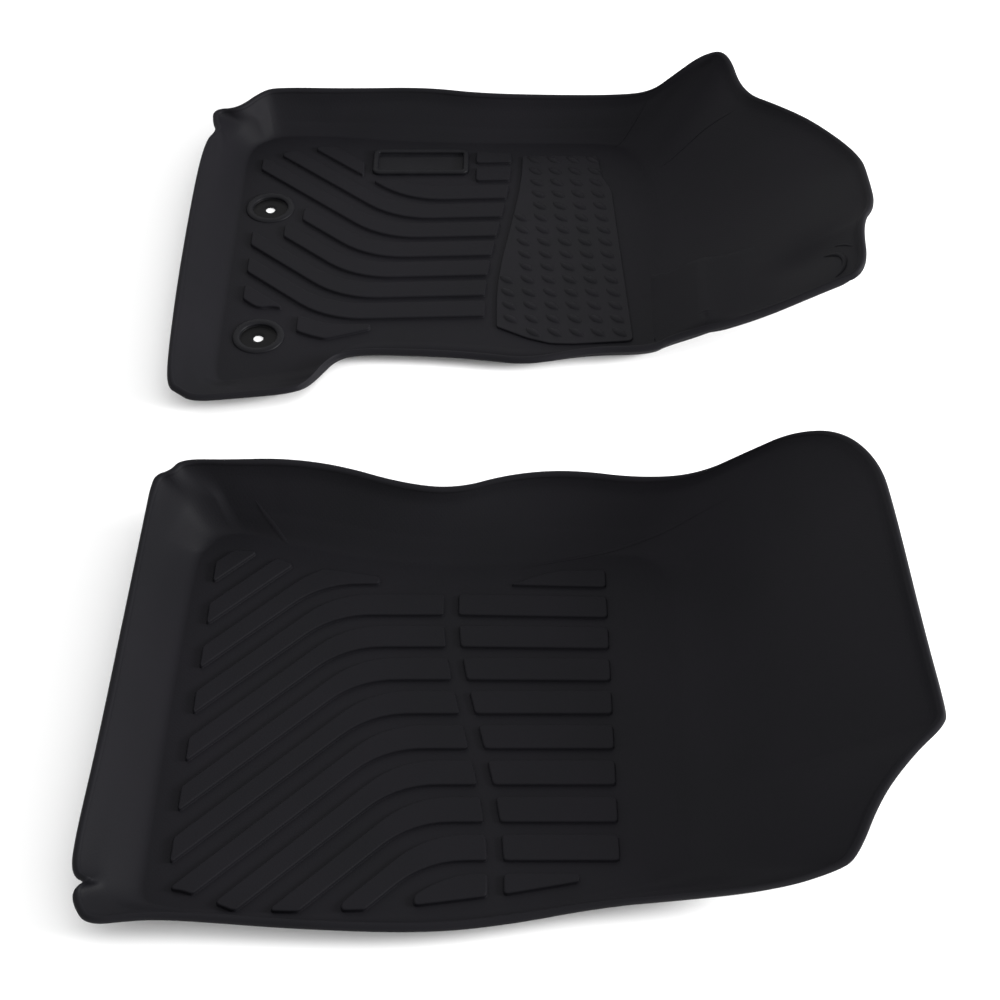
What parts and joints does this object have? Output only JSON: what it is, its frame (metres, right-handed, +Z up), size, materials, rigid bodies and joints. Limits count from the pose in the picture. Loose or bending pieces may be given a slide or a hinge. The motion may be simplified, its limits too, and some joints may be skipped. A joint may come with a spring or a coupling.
{
  "type": "floor_mat_set",
  "caption": "Two deep moulded black front floor liners with ribbed floors, a studded heel pad, round retention eyelets and a blank badge frame",
  "frame": {"origin": "on the ground, under the centre of the set's bounding box", "axes": "+X towards the front of the vehicle, +Y towards its left (driver's) side, +Z up; the set's long side lies along Y"},
  "size_m": [0.767, 1.1941, 0.1562],
  "materials": {
    "black_tpe": "fine matte moulded grain",
    "black_plastic": "satin injection moulded"
  },
  "bodies": {
    "driver_side": {"driver_mat": "black_tpe", "heel_pad": "black_tpe", "badge_frame": "black_plastic", "outboard_eyelet": "black_plastic", "inboard_eyelet": "black_plastic", "outboard_backing_ring": "black_plastic", "inboard_backing_ring": "black_plastic"},
    "passenger_side": {"passenger_mat": "black_tpe"}
  },
  "joints": [
    {"name": "passenger_lift", "type": "slide", "parent": "driver_side", "child": "passenger_side", "axis": [0, 0, 1], "range_m": [0, 0.25]}
  ]
}
